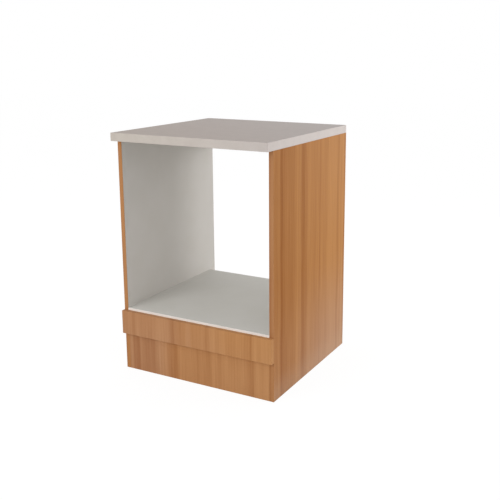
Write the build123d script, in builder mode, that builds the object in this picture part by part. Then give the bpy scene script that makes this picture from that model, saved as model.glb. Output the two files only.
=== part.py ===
from build123d import *

import os

os.makedirs("parts", exist_ok=True)

# Oven housing base cabinet, in millimetres. X runs across the front, Y from the front to the
# wall and Z up. The origin is on the floor, under the middle of the worktop.

# Whole cabinet
cabinet_width = 600.0
cabinet_height = 850.0
worktop_depth = 600.0
worktop_overhang = 35.0  # how far the worktop stands out in front of the side panels
niche_height = 595.0  # from the oven shelf up to the worktop

# Boards
worktop_thickness = 28.0
side_thickness = 16.0
shelf_thickness = 16.0
strip_thickness = 16.0
plinth_thickness = 16.0
rail_thickness = 16.0
shelf_depth = 530.0
strip_height = 84.0
strip_drop = 8.0  # the strip's top edge lies this far below the shelf's top face
plinth_lap = 15.0  # the plinth rises this far behind the strip
rail_height = 80.0

# Edge bands, glued to the boards' visible edges
carcass_edging = 1.0
worktop_edging = 1.5
carcass_edging_chamfer = 0.4
worktop_edging_round = 1.0

# Cam fittings: a bolt in the side panel, pulled in by a cam disc in the board
cam_distance = 34.0  # from the board's end to the middle of the cam
cam_bore_radius = 7.5
cam_clearance = 0.1
cam_below_axis = 4.5  # bore depth below the bolt's axis
cam_end_gap = 0.3
cam_roof = 3.8  # pocket height above the bolt's axis
cam_pocket_radius = 3.9
cam_throw = 0.6  # how far the pocket lies off the middle of the cam
cam_slot_half = 2.0
cam_mouth_radius = 3.6
cam_recess_length = 5.4
cam_recess_width = 1.3
cam_recess_depth = 2.2
bolt_thread_radius = 2.5
bolt_collar_radius = 3.4
bolt_collar_length = 1.5
bolt_shank_radius = 2.8
bolt_neck_radius = 1.7
bolt_head_radius = 3.2
bolt_head_beyond = 2.4  # the ball head is cut flat this far past its middle
bolt_bore_radius = 3.5
bolt_taper = 1.0

# Dowels, screws, bolts and their bores are drawn with this many flats
flat_count = 12

# Wooden dowels
dowel_bore_radius = 4.0
dowel_in_board = 20.0
dowel_chamfer = 1.0

# Bores that end inside a board
blind_cover = 5.0  # wood left beyond a dowel's or a bolt's bore
end_gap = 0.5  # a dowel or a bolt stops this far short of the end of its bore
side_clearance = 0.05  # all round a dowel, a bolt's thread or a screw

# Places of the fittings
shelf_cam_inset = 50.0  # from the shelf's front and rear edges
shelf_dowel_step = 32.0  # from a cam bolt to the dowel beside it
front_bracket_inset = 130.0  # from the side panels' front edge to the worktop brackets
rear_bracket_inset = 90.0  # and from their rear edge

# Pressed steel angle brackets
bracket_leg = 20.0
bracket_width = 20.0
bracket_thickness = 2.0
bracket_bend = 1.5  # radius inside the bend
bracket_corner_chamfer = 3.0
bracket_hole_inset = 12.0
bracket_hole_radius = 2.1

# Pan head screws
screw_radius = 1.75
screw_head_radius = 3.4
screw_crown_radius = 2.4
screw_head_height = 2.3
screw_cover = 3.0  # wood left beyond a screw's tip
screw_tip_length = 3.0
screw_tip_radius = 0.3
pilot_spare = 1.0

# Planes and levels that follow from the sizes
carcass_front = -worktop_depth / 2 + worktop_overhang
carcass_rear = worktop_depth / 2
side_height = cabinet_height - worktop_thickness
inner_half = cabinet_width / 2 - side_thickness
shelf_top = side_height - niche_height
shelf_under = shelf_top - shelf_thickness
shelf_middle = shelf_top - shelf_thickness / 2
shelf_rear = carcass_front + shelf_depth
strip_top = shelf_top - strip_drop
strip_under = strip_top - strip_height
plinth_height = strip_under + plinth_lap
plinth_middle = carcass_front + plinth_thickness / 2
rail_under = side_height - rail_height
rail_middle = carcass_rear - rail_thickness / 2
edge_middle = cabinet_width / 2 - side_thickness / 2
side_bore_depth = side_thickness - blind_cover
strip_bore_depth = strip_thickness - blind_cover
thinnest_board = min(side_thickness, shelf_thickness, strip_thickness, plinth_thickness)
screw_bite = thinnest_board - screw_cover
screw_length = screw_bite + bracket_thickness
pilot_depth = screw_bite + pilot_spare

sides = {-1: "left", 1: "right"}


def quarter_points(low, high):
    """Two levels, each half way between the middle of a board and one of its edges."""
    quarter = (high - low) / 4
    return (low + quarter, high - quarter)


# Fitting places on a side panel's inner face, as (y, z)
shelf_cam_ys = (carcass_front + shelf_cam_inset, shelf_rear - shelf_cam_inset)
shelf_dowel_ys = (shelf_cam_ys[0] + shelf_dowel_step, shelf_cam_ys[1] - shelf_dowel_step)
shelf_bolt_points = [(y, shelf_middle) for y in shelf_cam_ys]
shelf_dowel_points = [(y, shelf_middle) for y in shelf_dowel_ys]
rail_bolt_z, rail_dowel_z = quarter_points(rail_under, side_height)
rail_bolt_points = [(rail_middle, rail_bolt_z)]
rail_dowel_points = [(rail_middle, rail_dowel_z)]
plinth_dowel_points = [(plinth_middle, z) for z in quarter_points(0, plinth_height)]

# Fitting places on the side panels' front edges, as (x, z)
strip_dowel_zs = quarter_points(strip_under, strip_top)
strip_dowel_points = [(side * edge_middle, z) for side in sides for z in strip_dowel_zs]


def finish(built, name):
    """Labels a finished piece and writes its STEP file."""
    built.part.label = name
    export_step(built.part, f"parts/{name}.step")


def panel_face(side, y, z):
    """Plane on a side panel's inner face, its normal pointing into the cabinet."""
    return Plane(origin=(side * inner_half, y, z), x_dir=(0, 1, 0), z_dir=(-side, 0, 0))


def board_end(side, y, z):
    """Plane on the end of a board that meets a side panel, its normal pointing out of the board."""
    return Plane(origin=(side * inner_half, y, z), x_dir=(0, 1, 0), z_dir=(side, 0, 0))


def front_edge(x, z):
    """Plane on the side panels' front edges, its normal pointing to the front."""
    return Plane(origin=(x, carcass_front, z), x_dir=(1, 0, 0), z_dir=(0, -1, 0))


def strip_back(x, z):
    """Plane on the back of the front strip, its normal pointing to the rear."""
    return Plane(origin=(x, carcass_front, z), x_dir=(1, 0, 0), z_dir=(0, 1, 0))


def on_panels(points):
    """Planes on both side panels' inner faces."""
    return [panel_face(side, y, z) for side in sides for y, z in points]


def on_ends(points):
    """Planes on both ends of a board."""
    return [board_end(side, y, z) for side in sides for y, z in points]


def shelf_cam_face(side, y):
    """Plane on the shelf's underside over a cam, its X axis pointing to the side panel."""
    origin = (side * (inner_half - cam_distance), y, shelf_under)
    return Plane(origin=origin, x_dir=(side, 0, 0), z_dir=(0, 0, -1))


def rail_cam_face(side, z):
    """Plane on the rail's rear face over a cam, its X axis pointing to the side panel."""
    origin = (side * (inner_half - cam_distance), carcass_rear, z)
    return Plane(origin=origin, x_dir=(side, 0, 0), z_dir=(0, 1, 0))


strip_back_places = [strip_back(x, z) for x, z in strip_dowel_points]
shelf_cam_planes = [shelf_cam_face(side, y) for side in sides for y in shelf_cam_ys]
rail_cam_planes = [rail_cam_face(side, z) for side in sides for _, z in rail_bolt_points]


# An angle bracket sits in a corner between two boards. Its corner plane has its origin in that
# corner. The first leg lies on the plane and runs along its X axis, and the second stands up
# along its normal.
def worktop_corner(side, y):
    """Corner between a side panel's inner face and the worktop."""
    return Plane(origin=(side * inner_half, y, side_height), x_dir=(0, 0, -1), z_dir=(-side, 0, 0))


def upright_corner(side, y, z):
    """Corner between a side panel's inner face and a board that stands across the cabinet."""
    return Plane(origin=(side * inner_half, y, z), x_dir=(0, 1, 0), z_dir=(-side, 0, 0))


def both_corners(corners):
    """The corner planes of both sides in one list."""
    return [corner for side in sides for corner in corners[side]]


worktop_bracket_ys = (carcass_front + front_bracket_inset, carcass_rear - rear_bracket_inset)
strip_bracket_z = (plinth_height + shelf_under) / 2
worktop_corners = {side: [worktop_corner(side, y) for y in worktop_bracket_ys] for side in sides}
strip_corners = {side: [upright_corner(side, carcass_front, strip_bracket_z)] for side in sides}
shelf_corner = Plane(origin=(0, carcass_front, shelf_under), x_dir=(0, 1, 0), z_dir=(0, 0, -1))
strip_bracket_corners = both_corners(strip_corners) + [shelf_corner]
plinth_back = carcass_front + plinth_thickness
plinth_corners = {side: [upright_corner(side, plinth_back, plinth_height / 2)] for side in sides}
side_corners = {side: worktop_corners[side] + strip_corners[side] + plinth_corners[side] for side in sides}


def first_leg_screw(corner, lift=0.0):
    """Plane at the first leg's screw, on the board's face or lifted to the bracket's face."""
    origin = corner.from_local_coords((bracket_hole_inset, 0, lift))
    return Plane(origin=origin, x_dir=corner.x_dir, z_dir=corner.z_dir)


def second_leg_screw(corner, lift=0.0):
    """Plane at the second leg's screw, on the board's face or lifted to the bracket's face."""
    origin = corner.from_local_coords((lift, 0, bracket_hole_inset))
    return Plane(origin=origin, x_dir=corner.z_dir, z_dir=corner.x_dir)


def screw_seats(corners):
    """Planes under the heads of both screws of each bracket."""
    seats = [first_leg_screw(corner, bracket_thickness) for corner in corners]
    return seats + [second_leg_screw(corner, bracket_thickness) for corner in corners]


def bores(places, radius, depth):
    """Straight bores with flats, going in at these planes, to be taken out of a board."""
    with BuildPart(mode=Mode.PRIVATE) as cut:
        with BuildSketch(*places):
            RegularPolygon(radius, flat_count, major_radius=False)
        extrude(amount=-depth)
    return cut.part


# Side panels, from the floor to the worktop
for side, name in sides.items():
    side_front = carcass_front + carcass_edging
    with BuildPart() as side_panel:
        with BuildSketch(Plane.YZ.offset(side * inner_half)):
            with Locations((side_front, 0)):
                Rectangle(carcass_rear - side_front, side_height, align=(Align.MIN, Align.MIN))
        extrude(amount=side * side_thickness)
        bolt_places = [panel_face(side, y, z) for y, z in shelf_bolt_points + rail_bolt_points]
        add(bores(bolt_places, bolt_thread_radius, side_bore_depth), mode=Mode.SUBTRACT)
        dowel_points = shelf_dowel_points + rail_dowel_points + plinth_dowel_points
        dowel_places = [panel_face(side, y, z) for y, z in dowel_points]
        add(bores(dowel_places, dowel_bore_radius, side_bore_depth), mode=Mode.SUBTRACT)
        strip_dowel_places = [front_edge(side * edge_middle, z) for z in strip_dowel_zs]
        add(bores(strip_dowel_places, dowel_bore_radius, dowel_in_board), mode=Mode.SUBTRACT)
        screw_places = [first_leg_screw(corner) for corner in side_corners[side]]
        add(bores(screw_places, screw_radius, pilot_depth), mode=Mode.SUBTRACT)
    finish(side_panel, f"side_panel_{name}")

    with BuildPart() as side_edging:
        with BuildSketch(Plane.XY):
            with Locations((side * edge_middle, carcass_front)):
                Rectangle(side_thickness, carcass_edging, align=(Align.CENTER, Align.MIN))
        extrude(amount=side_height)
        front_edges = side_edging.edges().filter_by(Axis.Z).group_by(Axis.Y)[0]
        chamfer(front_edges, length=carcass_edging_chamfer)
        add(bores(strip_dowel_places, dowel_bore_radius, carcass_edging), mode=Mode.SUBTRACT)
    finish(side_edging, f"side_edging_{name}")

# Oven shelf, open at the rear for air and the supply cable
with BuildPart() as oven_shelf:
    with BuildSketch(Plane.XY.offset(shelf_under)):
        with Locations((0, carcass_front + carcass_edging)):
            shelf_core_depth = shelf_depth - carcass_edging
            Rectangle(2 * inner_half, shelf_core_depth, align=(Align.CENTER, Align.MIN))
    extrude(amount=shelf_thickness)
    add(bores(on_ends(shelf_bolt_points), bolt_bore_radius, cam_distance), mode=Mode.SUBTRACT)
    add(bores(on_ends(shelf_dowel_points), dowel_bore_radius, dowel_in_board), mode=Mode.SUBTRACT)
    with Locations(shelf_cam_planes):
        Hole(cam_bore_radius, shelf_thickness / 2 + cam_below_axis)
    add(bores([first_leg_screw(shelf_corner)], screw_radius, pilot_depth), mode=Mode.SUBTRACT)
finish(oven_shelf, "oven_shelf")

with BuildPart() as shelf_edging:
    with BuildSketch(Plane.XY.offset(shelf_under)):
        with Locations((0, carcass_front)):
            Rectangle(2 * inner_half, carcass_edging, align=(Align.CENTER, Align.MIN))
    extrude(amount=shelf_thickness)
    shelf_front_edges = shelf_edging.edges().filter_by(Axis.X).group_by(Axis.Y)[0]
    chamfer(shelf_front_edges, length=carcass_edging_chamfer)
finish(shelf_edging, "shelf_edging")

# Front strip, across the front edges of both side panels
strip_face = carcass_front - strip_thickness
strip_core_under = strip_under + carcass_edging
strip_core_height = strip_height - 2 * carcass_edging
with BuildPart() as front_strip:
    with BuildSketch(Plane.XY.offset(strip_core_under)):
        with Locations((0, strip_face)):
            strip_core_width = cabinet_width - 2 * carcass_edging
            Rectangle(strip_core_width, strip_thickness, align=(Align.CENTER, Align.MIN))
    extrude(amount=strip_core_height)
    add(bores(strip_back_places, dowel_bore_radius, strip_bore_depth), mode=Mode.SUBTRACT)
    strip_screw_places = [second_leg_screw(corner) for corner in strip_bracket_corners]
    add(bores(strip_screw_places, screw_radius, pilot_depth), mode=Mode.SUBTRACT)
finish(front_strip, "front_strip")

with BuildPart() as strip_long_edgings:
    for level in (strip_under, strip_top - carcass_edging):
        with BuildSketch(Plane.XY.offset(level)):
            with Locations((0, strip_face)):
                Rectangle(cabinet_width, strip_thickness, align=(Align.CENTER, Align.MIN))
        extrude(amount=carcass_edging)
    strip_outer_edges = strip_long_edgings.edges().filter_by(Axis.X).group_by(Axis.Z)
    chamfer(strip_outer_edges[0] + strip_outer_edges[-1], length=carcass_edging_chamfer)
finish(strip_long_edgings, "strip_long_edgings")

with BuildPart() as strip_end_edgings:
    with BuildSketch(Plane.XY.offset(strip_core_under)):
        end_middle = cabinet_width / 2 - carcass_edging / 2
        with Locations((-end_middle, strip_face), (end_middle, strip_face)):
            Rectangle(carcass_edging, strip_thickness, align=(Align.CENTER, Align.MIN))
    extrude(amount=strip_core_height)
    strip_corner_edges = strip_end_edgings.edges().filter_by(Axis.Z).group_by(Axis.X)
    chamfer(strip_corner_edges[0] + strip_corner_edges[-1], length=carcass_edging_chamfer)
finish(strip_end_edgings, "strip_end_edgings")

# Plinth board, between the side panels and down to the floor
with BuildPart() as plinth_board:
    with BuildSketch(Plane.XY):
        with Locations((0, carcass_front)):
            Rectangle(2 * inner_half, plinth_thickness, align=(Align.CENTER, Align.MIN))
    extrude(amount=plinth_height)
    add(bores(on_ends(plinth_dowel_points), dowel_bore_radius, dowel_in_board), mode=Mode.SUBTRACT)
    plinth_screw_places = [second_leg_screw(corner) for corner in both_corners(plinth_corners)]
    add(bores(plinth_screw_places, screw_radius, pilot_depth), mode=Mode.SUBTRACT)
finish(plinth_board, "plinth_board")

# Rear rail, upright under the worktop
with BuildPart() as rear_rail:
    with BuildSketch(Plane.XY.offset(rail_under)):
        with Locations((0, carcass_rear)):
            Rectangle(2 * inner_half, rail_thickness, align=(Align.CENTER, Align.MAX))
    extrude(amount=rail_height)
    add(bores(on_ends(rail_bolt_points), bolt_bore_radius, cam_distance), mode=Mode.SUBTRACT)
    add(bores(on_ends(rail_dowel_points), dowel_bore_radius, dowel_in_board), mode=Mode.SUBTRACT)
    with Locations(rail_cam_planes):
        Hole(cam_bore_radius, rail_thickness / 2 + cam_below_axis)
finish(rear_rail, "rear_rail")

# Worktop, banded at the front and at both ends
worktop_front = -worktop_depth / 2
with BuildPart() as worktop:
    with BuildSketch(Plane.XY.offset(side_height)):
        with Locations((0, worktop_front + worktop_edging)):
            worktop_core_width = cabinet_width - 2 * worktop_edging
            worktop_core_depth = worktop_depth - worktop_edging
            Rectangle(worktop_core_width, worktop_core_depth, align=(Align.CENTER, Align.MIN))
    extrude(amount=worktop_thickness)
    worktop_screw_places = [second_leg_screw(corner) for corner in both_corners(worktop_corners)]
    add(bores(worktop_screw_places, screw_radius, pilot_depth), mode=Mode.SUBTRACT)
finish(worktop, "worktop")

with BuildPart() as worktop_front_edging:
    with BuildSketch(Plane.XY.offset(side_height)):
        with Locations((0, worktop_front)):
            Rectangle(cabinet_width, worktop_edging, align=(Align.CENTER, Align.MIN))
    extrude(amount=worktop_thickness)
    worktop_front_edges = worktop_front_edging.edges().filter_by(Axis.Y, reverse=True)
    fillet(worktop_front_edges.group_by(Axis.Y)[0], radius=worktop_edging_round)
finish(worktop_front_edging, "worktop_front_edging")

for side, name in sides.items():
    with BuildPart() as worktop_end_edging:
        with BuildSketch(Plane.XY.offset(side_height)):
            with Locations((side * (cabinet_width - worktop_edging) / 2, carcass_rear)):
                Rectangle(worktop_edging, worktop_core_depth, align=(Align.CENTER, Align.MAX))
        extrude(amount=worktop_thickness)
        outwards = Axis((0, 0, 0), (side, 0, 0))
        outer_edges = worktop_end_edging.edges().filter_by(Axis.Y).group_by(outwards)[-1]
        fillet(outer_edges, radius=worktop_edging_round)
    finish(worktop_end_edging, f"worktop_edging_{name}")


def cam_disc(axis_depth):
    """Cam disc with its face at z = 0. It holds a bolt that comes in along +X, axis_depth below the face.

    The bolt's ball head sits in a pocket set off the middle of the disc, and its neck passes
    through a slot that runs half way round. The pocket's wall comes nearer to the middle as the
    disc is turned, which draws the head in. The disc is shown locked.
    """
    radius = cam_bore_radius - cam_clearance
    height = axis_depth + cam_below_axis - cam_end_gap
    reach = 2 * cam_bore_radius
    with BuildPart() as cam:
        with BuildSketch(Plane.XY):
            Circle(radius)
        extrude(amount=-height)
        with BuildSketch(Plane.XY.offset(-height)):
            with Locations((-cam_throw, 0)):
                RegularPolygon(cam_pocket_radius, flat_count, major_radius=False)
        extrude(amount=height - axis_depth + cam_roof, mode=Mode.SUBTRACT)
        with BuildSketch(Plane.XY.offset(-axis_depth - cam_slot_half)):
            with BuildLine():
                Polyline((0, 0), (reach, -reach), (reach, reach), (-reach, reach), (-reach, 0), close=True)
            make_face()
        extrude(amount=2 * cam_slot_half, mode=Mode.SUBTRACT)
        with BuildSketch(Plane.YZ):
            with Locations((0, -axis_depth)):
                RegularPolygon(cam_mouth_radius, flat_count, major_radius=False)
                Rectangle(2 * cam_mouth_radius, reach, align=(Align.CENTER, Align.MAX))
        extrude(amount=-reach, mode=Mode.SUBTRACT)
        with BuildSketch(Plane.XY):
            Rectangle(cam_recess_length, cam_recess_width)
            Rectangle(cam_recess_width, cam_recess_length)
        extrude(amount=-cam_recess_depth, mode=Mode.SUBTRACT)
    return cam.part


def turned(stages):
    """Round piece along Z with flats, from stages of (start, radius there, end, radius there)."""
    with BuildPart() as piece:
        for low, low_radius, high, high_radius in stages:
            with BuildSketch(Plane.XY.offset(low)):
                RegularPolygon(low_radius, flat_count)
            with BuildSketch(Plane.XY.offset(high)):
                RegularPolygon(high_radius, flat_count)
            loft(ruled=True)
    return piece.part


# Bolt of a cam fitting, standing on a panel's face at z = 0 with its thread below
neck_start = cam_distance - cam_bore_radius
taper_start = neck_start - bolt_taper
thread_radius = bolt_thread_radius - side_clearance
thread_end = -(side_bore_depth - end_gap)
head_start = cam_distance - (bolt_head_radius**2 - bolt_neck_radius**2) ** 0.5
head_end = cam_distance + bolt_head_beyond
head_end_radius = (bolt_head_radius**2 - bolt_head_beyond**2) ** 0.5
cam_bolt = turned([
    (thread_end, thread_radius - bolt_taper, thread_end + bolt_taper, thread_radius),
    (thread_end + bolt_taper, thread_radius, 0, thread_radius),
    (0, bolt_collar_radius, bolt_collar_length, bolt_collar_radius),
    (bolt_collar_length, bolt_shank_radius, taper_start, bolt_shank_radius),
    (taper_start, bolt_shank_radius, neck_start, bolt_neck_radius),
    (neck_start, bolt_neck_radius, head_start, bolt_neck_radius),
    (head_start, bolt_neck_radius, cam_distance, bolt_head_radius),
    (cam_distance, bolt_head_radius, head_end, head_end_radius),
])

cam_fittings = {
    "shelf": (cam_disc(shelf_thickness / 2), shelf_cam_planes, shelf_bolt_points),
    "rail": (cam_disc(rail_thickness / 2), rail_cam_planes, rail_bolt_points),
}
for name, (disc, cam_planes, bolt_points) in cam_fittings.items():
    with BuildPart() as cam_discs:
        with Locations(cam_planes):
            add(disc)
    finish(cam_discs, f"{name}_cam_discs")
    with BuildPart() as cam_bolts:
        with Locations(on_panels(bolt_points)):
            add(cam_bolt)
    finish(cam_bolts, f"{name}_cam_bolts")


def dowel(short_bore):
    """Fluted dowel across a joint at z = 0, with its short end below in a bore of that depth."""
    radius = dowel_bore_radius - side_clearance
    low = -(short_bore - end_gap)
    high = dowel_in_board - end_gap
    return turned([
        (low, radius - dowel_chamfer, low + dowel_chamfer, radius),
        (low + dowel_chamfer, radius, high - dowel_chamfer, radius),
        (high - dowel_chamfer, radius, high, radius - dowel_chamfer),
    ])


end_dowel = dowel(side_bore_depth)
dowel_sets = {
    "shelf_dowels": (end_dowel, on_panels(shelf_dowel_points)),
    "rail_dowels": (end_dowel, on_panels(rail_dowel_points)),
    "plinth_dowels": (end_dowel, on_panels(plinth_dowel_points)),
    "strip_dowels": (dowel(strip_bore_depth), strip_back_places),
}
for name, (pin, places) in dowel_sets.items():
    with BuildPart() as dowels:
        with Locations(places):
            add(pin)
    finish(dowels, name)

# Angle bracket, with its first leg along X and its second along Z
with BuildPart() as bracket:
    with BuildSketch(Plane.XZ) as bracket_profile:
        with BuildLine():
            Polyline(
                (0, 0),
                (bracket_leg, 0),
                (bracket_leg, bracket_thickness),
                (bracket_thickness, bracket_thickness),
                (bracket_thickness, bracket_leg),
                (0, bracket_leg),
                close=True,
            )
        make_face()
        bend_corners = bracket_profile.vertices().sort_by_distance((0, 0, 0))
        fillet(bend_corners[0], radius=bracket_bend + bracket_thickness)
        bend_corners = bracket_profile.vertices().sort_by_distance((bracket_thickness, bracket_thickness, 0))
        fillet(bend_corners[0], radius=bracket_bend)
    extrude(amount=bracket_width / 2, both=True)
    first_leg_corners = bracket.edges().filter_by(Axis.Z).group_by(Axis.X)[-1]
    second_leg_corners = bracket.edges().filter_by(Axis.X).group_by(Axis.Z)[-1]
    chamfer(first_leg_corners + second_leg_corners, length=bracket_corner_chamfer)
    first_hole = Plane(origin=(bracket_hole_inset, 0, bracket_thickness), z_dir=(0, 0, 1))
    second_hole = Plane(origin=(bracket_thickness, 0, bracket_hole_inset), z_dir=(1, 0, 0))
    with BuildSketch(first_hole, second_hole):
        RegularPolygon(bracket_hole_radius, flat_count, major_radius=False)
    extrude(amount=-bracket_thickness, mode=Mode.SUBTRACT)

# Pan head screw, with the underside of its head at z = 0
screw_shank_radius = screw_radius - side_clearance
screw = turned([
    (-screw_length, screw_tip_radius, screw_tip_length - screw_length, screw_shank_radius),
    (screw_tip_length - screw_length, screw_shank_radius, 0, screw_shank_radius),
    (0, screw_head_radius, screw_head_height, screw_crown_radius),
])

bracket_places = {
    "worktop": both_corners(worktop_corners),
    "strip": strip_bracket_corners,
    "plinth": both_corners(plinth_corners),
}
for name, corners in bracket_places.items():
    with BuildPart() as brackets:
        with Locations(corners):
            add(bracket.part)
    finish(brackets, f"{name}_brackets")
    with BuildPart() as bracket_screws:
        with Locations(screw_seats(corners)):
            add(screw)
    finish(bracket_screws, f"{name}_bracket_screws")
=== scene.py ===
"""Looks of the oven housing cabinet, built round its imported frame. Lengths are in metres."""

import logging
import math
from dataclasses import dataclass
from enum import Enum

import bpy
import numpy as np
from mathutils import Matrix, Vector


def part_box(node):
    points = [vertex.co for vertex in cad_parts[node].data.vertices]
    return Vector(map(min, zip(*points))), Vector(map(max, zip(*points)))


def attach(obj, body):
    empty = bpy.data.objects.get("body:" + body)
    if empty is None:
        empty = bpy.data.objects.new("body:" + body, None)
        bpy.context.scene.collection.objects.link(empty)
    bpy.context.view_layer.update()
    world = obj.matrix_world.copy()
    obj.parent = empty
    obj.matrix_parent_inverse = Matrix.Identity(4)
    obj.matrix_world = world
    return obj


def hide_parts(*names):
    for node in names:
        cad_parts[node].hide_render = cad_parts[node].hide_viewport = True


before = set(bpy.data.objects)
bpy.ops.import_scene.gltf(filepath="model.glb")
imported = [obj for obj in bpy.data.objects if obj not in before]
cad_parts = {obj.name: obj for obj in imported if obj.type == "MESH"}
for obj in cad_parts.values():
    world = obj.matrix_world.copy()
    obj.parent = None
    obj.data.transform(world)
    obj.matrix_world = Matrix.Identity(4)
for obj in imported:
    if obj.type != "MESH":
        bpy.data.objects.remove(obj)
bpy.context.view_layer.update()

log = logging.getLogger("cabinet")

MILLIMETRE = 0.001
BODY = "root"

Colour = tuple[int, int, int]
Shape = tuple[np.ndarray, np.ndarray]  # corners and triangles

# The standard curve of screen colours: straight up to a knee, and a power of the share above it
FULL_LEVEL = 255
CURVE_KNEE = 0.04045
CURVE_SLOPE = 12.92
CURVE_OFFSET = 0.055
CURVE_POWER = 2.4

WHITE = (1.0, 1.0, 1.0, 1.0)

MERGE_DIGITS = 6  # decimal places of a metre to which corners at the same place agree
RING_MARGIN = 0.05 * MILLIMETRE  # how much nearer to the axis a corner of the widest ring may lie
SHARP_ANGLE = math.radians(35)  # edges bent more than this stay sharp
NEAR_ZERO = 1e-9  # keeps divisions finite


class Axis(Enum):
    """Axes of the cabinet's frame."""

    X = 0  # across the front
    Y = 1  # from the front to the wall
    Z = 2  # up


class Place(Enum):
    """What a fitting's own axis starts from."""

    WIDEST = "the ring where the fitting is widest, such as the underside of a screw's head"
    MIDDLE = "the middle of its length"


def linear(colour: Colour) -> tuple[float, float, float, float]:
    """Turns an 8-bit screen colour into the linear one that a shader takes.

    Args:
        colour: Red, green and blue from 0 to 255.

    Returns:
        Linear red, green and blue from 0 to 1, and an alpha of 1.
    """
    shares = np.array(colour) / FULL_LEVEL
    straight = shares / CURVE_SLOPE
    curved = ((shares + CURVE_OFFSET) / (1 + CURVE_OFFSET)) ** CURVE_POWER
    return (*np.where(shares <= CURVE_KNEE, straight, curved).tolist(), 1.0)


class Signal:
    """A socket that shader maths can be written on."""

    def __init__(self, bench: "Bench", socket: bpy.types.NodeSocket) -> None:
        """Wraps one output socket of the bench's nodes."""
        self.bench = bench
        self.socket = socket

    def __add__(self, other: "Signal | float") -> "Signal":
        """Adds a signal or a number."""
        return self.bench.maths("ADD", self, other)

    __radd__ = __add__

    def __sub__(self, other: "Signal | float") -> "Signal":
        """Takes a signal or a number away."""
        return self.bench.maths("SUBTRACT", self, other)

    def __rsub__(self, other: float) -> "Signal":
        """Takes this signal away from a number."""
        return self.bench.maths("SUBTRACT", other, self)

    def __mul__(self, other: "Signal | float") -> "Signal":
        """Multiplies by a signal or a number."""
        return self.bench.maths("MULTIPLY", self, other)

    __rmul__ = __mul__

    def __abs__(self) -> "Signal":
        """Distance from zero."""
        return self.bench.maths("ABSOLUTE", self)

    def above(self, limit: float) -> "Signal":
        """One where this signal is over the limit, and zero elsewhere."""
        return self.bench.maths("GREATER_THAN", self, limit)

    def below(self, limit: float) -> "Signal":
        """One where this signal is under the limit, and zero elsewhere."""
        return self.bench.maths("LESS_THAN", self, limit)

    def rise(self, low: float, high: float) -> "Signal":
        """Climbs smoothly from zero at one value to one at another.

        Args:
            low: Where the climb starts.
            high: Where it ends.

        Returns:
            The climbing signal, from 0 to 1.
        """
        limits = {"Value": self, "From Min": low, "From Max": high}
        node = self.bench.node("ShaderNodeMapRange", {"interpolation_type": "SMOOTHSTEP"}, limits)
        return Signal(self.bench, node.outputs["Result"])


@dataclass
class Coat:
    """What varies over one finish: its colour, its roughness and its height in metres."""

    colour: Signal
    roughness: Signal
    height: Signal


class Bench:
    """The node tree of one material under construction."""

    def __init__(self, tree: bpy.types.NodeTree) -> None:
        """Empties the tree."""
        self.tree = tree
        tree.nodes.clear()

    def node(self, kind: str, settings: dict, values: dict) -> bpy.types.Node:
        """Adds any node.

        Args:
            kind: The node's type.
            settings: Its properties, which are set first.
            values: Its input sockets by name or number, with a number, a vector or a signal each.

        Returns:
            The new node.
        """
        made = self.tree.nodes.new(kind)
        for name, value in settings.items():
            setattr(made, name, value)
        for key, value in values.items():
            if isinstance(value, Signal):
                self.tree.links.new(value.socket, made.inputs[key])
            else:
                made.inputs[key].default_value = value
        return made

    def maths(self, operation: str, *values: Signal | float) -> Signal:
        """Adds one Math node, with its inputs in order."""
        made = self.node("ShaderNodeMath", {"operation": operation}, dict(enumerate(values)))
        return Signal(self, made.outputs[0])

    def spot(self) -> "Spot":
        """Reads the object coordinates, which are the cabinet's own frame.

        Returns:
            The place, as a vector and axis by axis.
        """
        coordinates = self.node("ShaderNodeTexCoord", {}, {})
        vector = Signal(self, coordinates.outputs["Object"])
        parts = self.node("ShaderNodeSeparateXYZ", {}, {0: vector})
        return Spot(self, vector, {axis: Signal(self, parts.outputs[axis.value]) for axis in Axis})

    def vector(self, x: Signal | float, y: Signal | float, z: Signal | float) -> Signal:
        """Joins three signals into a vector."""
        return Signal(self, self.node("ShaderNodeCombineXYZ", {}, {0: x, 1: y, 2: z}).outputs[0])

    def noise(self, vector: Signal, detail: float = 2.0) -> Signal:
        """Cloudy noise from about -0.5 to 0.5, with features about one unit of the vector in size."""
        made = self.node("ShaderNodeTexNoise", {}, {"Vector": vector, "Scale": 1.0, "Detail": detail})
        return Signal(self, made.outputs[0]) - 0.5

    def chips(self, vector: Signal) -> Signal:
        """Cells about one unit of the vector in size.

        Args:
            vector: Where the cells are read.

        Returns:
            One random grey level for each cell, from 0 to 1.
        """
        made = self.node("ShaderNodeTexVoronoi", {}, {"Vector": vector, "Scale": 1.0})
        grey = self.node("ShaderNodeSeparateColor", {}, {0: Signal(self, made.outputs["Color"])})
        return Signal(self, grey.outputs[0])

    def blend(self, share: Signal, first: Signal | tuple, second: Signal | tuple) -> Signal:
        """Mixes two colours, signals or linear ones, by the share of the second from 0 to 1."""
        # Of the node's many sockets these are the ones for colours
        mix = self.node("ShaderNodeMix", {"data_type": "RGBA"}, {0: share, 6: first, 7: second})
        return Signal(self, mix.outputs[2])

    def two_tone(self, signal: Signal, half: float, low: Colour, high: Colour) -> Signal:
        """Shades from one screen colour to another as a signal climbs from -half to half."""
        return self.blend(signal.rise(-half, half), linear(low), linear(high))

    def blend_coats(self, share: Signal, first: Coat, second: Coat) -> Coat:
        """Mixes two coats, each of their parts by the share of the second from 0 to 1."""
        rest = 1 - share
        return Coat(
            self.blend(share, first.colour, second.colour),
            first.roughness * rest + second.roughness * share,
            first.height * rest + second.height * share,
        )


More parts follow.
